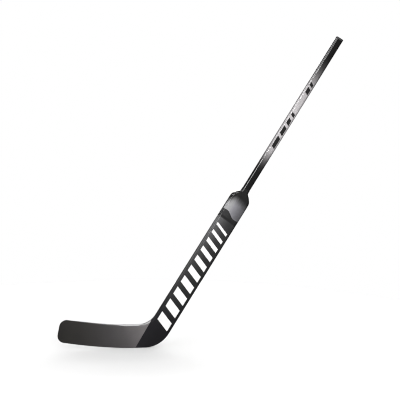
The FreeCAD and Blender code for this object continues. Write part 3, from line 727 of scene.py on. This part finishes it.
world = bpy.data.worlds.new("studio")
scene.world = world
world.use_nodes = True
wt = world.node_tree
for n in list(wt.nodes):
    wt.nodes.remove(n)
path, seen, lit = wt.nodes.new("ShaderNodeLightPath"), wt.nodes.new("ShaderNodeBackground"), wt.nodes.new("ShaderNodeBackground")
mix, wout = wt.nodes.new("ShaderNodeMixShader"), wt.nodes.new("ShaderNodeOutputWorld")
seen.inputs["Color"].default_value, seen.inputs["Strength"].default_value = (1, 1, 1, 1), 1.0
lit.inputs["Color"].default_value, lit.inputs["Strength"].default_value = (1, 1, 1, 1), 0.10
wt.links.new(path.outputs["Is Camera Ray"], mix.inputs[0])
wt.links.new(lit.outputs[0], mix.inputs[1])
wt.links.new(seen.outputs[0], mix.inputs[2])
wt.links.new(mix.outputs[0], wout.inputs[0])


def softbox(name, at, aim, w, h, radiance, turn=0.0, mirrored=True, diffuse=True):
    """A rectangular light of that radiance, unseen by the camera, turned in its own plane by some degrees."""
    data = bpy.data.lights.new(name, "AREA")
    data.shape, data.size, data.size_y = "RECTANGLE", w, h
    data.energy = radiance * math.pi * w * h
    o = bpy.data.objects.new(name, data)
    scene.collection.objects.link(o)
    aimed = (Vector(aim) - Vector(at)).to_track_quat("-Z", "Y").to_matrix().to_4x4()
    o.matrix_world = Matrix.Translation(at) @ aimed @ Matrix.Rotation(math.radians(turn), 4, "Z")
    o.visible_camera, o.visible_glossy, o.visible_diffuse = False, mirrored, diffuse
    return o


softbox("key", (0.245, -3.0, 1.07), (0.295, 0.0, 0.64), 0.5, 1.5, 20.0, turn=-33.0)
softbox("key_low", (0.10, -3.0, 0.80), (0.3, 0.0, 0.5), 0.5, 0.6, 14.0, turn=-33.0, diffuse=False)
softbox("key_high", (0.49, -3.0, 1.45), (0.5, 0.0, 0.9), 0.4, 0.3, 12.0, turn=-33.0, diffuse=False)
softbox("fill_front", (-1.6, -2.2, 2.2), (0.2, 0.0, 0.5), 1.4, 1.4, 4.0, mirrored=False)
softbox("fill_right", (2.2, -2.4, 1.4), (0.2, 0.0, 0.5), 1.2, 1.8, 2.0, mirrored=False)
softbox("top", (0.1, 0.2, 2.8), (0.1, 0.0, 0.3), 2.4, 1.8, 3.0, mirrored=False)
softbox("fill_back", (0.6, 3.0, 2.0), (0.2, 0.0, 0.5), 2.0, 1.4, 4.0, mirrored=False)
softbox("back_low", (0.9, 2.5, 0.35), (0.9, 0.0, 0.25), 1.4, 0.55, 3.2, diffuse=False)
softbox("panel_left", (-2.2, -0.68, 1.68), (0.25, 0.0, 0.4), 0.7, 0.46, 2.8, diffuse=False)
softbox("edge_left", (-2.2, -1.42, 3.5), (0.7, 0.0, 1.1), 1.2, 0.8, 15.0, diffuse=False)
softbox("top_gloss", (-0.25, -0.5, 2.8), (0.35, 0.0, 0.6), 0.9, 0.5, 9.0, diffuse=False)
# a far bright backdrop, seen in what faces straight up: the top of the blade and of the shoulder
softbox("backdrop", (1.55, 12.0, 3.0), (0.1, 0.0, 0.2), 1.8, 2.6, 6.5, diffuse=False)
# lights from behind, in front and above that only the floor receives: the soft shadow round the blade
receivers = bpy.data.collections.new("ground_light_receivers")
receivers.objects.link(floor)
for name, at, w, h, radiance in (("ground_low", (0.0, 12.0, 1.4), 16.0, 2.6, 48.0), ("ground_mid", (-0.5, 8.5, 2.9), 13.0, 2.9, 16.5),
                               ("ground_front", (0.0, -2.2, 2.4), 6.0, 5.0, 1.9), ("ground_dome", (0.0, 0.6, 2.6), 5.0, 4.0, 1.0)):
    softbox(name, at, (0.0, 0.0, 0.0), w, h, radiance, mirrored=False).light_linking.receiver_collection = receivers

# camera: the photograph's angle, long lens
CAM_AZ, CAM_EL, CAM_D, CAM_F, CAM_CX, CAM_CY, CAM_ROLL = -7.0, 6.0, 4.5, 1225.862, 199.675, 191.946, -0.094
a, e = math.radians(CAM_AZ), math.radians(CAM_EL)
back = Vector((math.sin(a) * math.cos(e), -math.cos(a) * math.cos(e), math.sin(e)))
right = (-back).cross(Vector((0, 0, 1))).normalized()
up = right.cross(-back)
per_px = CAM_D / CAM_F
aim = Vector((0.226, 0.0, 0.575)) + right * (200.0 - CAM_CX) * per_px - up * (200.0 - CAM_CY) * per_px
cam_data = bpy.data.cameras.new("camera")
cam_data.sensor_width = 36.0
cam_data.lens = CAM_F / 400.0 * 36.0
cam_data.clip_start, cam_data.clip_end = 0.05, 60.0
cam = bpy.data.objects.new("camera", cam_data)
scene.collection.objects.link(cam)
cam.matrix_world = Matrix.Translation(aim + back * CAM_D) @ Matrix((right, up, back)).transposed().to_4x4() @ Matrix.Rotation(
    math.radians(-CAM_ROLL), 4, "Z")
scene.camera = cam
scene.view_settings.view_transform = "Standard"
scene.cycles.filter_width = 1.1

# ------------------------------------------------------------------ a last update of the scene
bpy.context.view_layer.update()
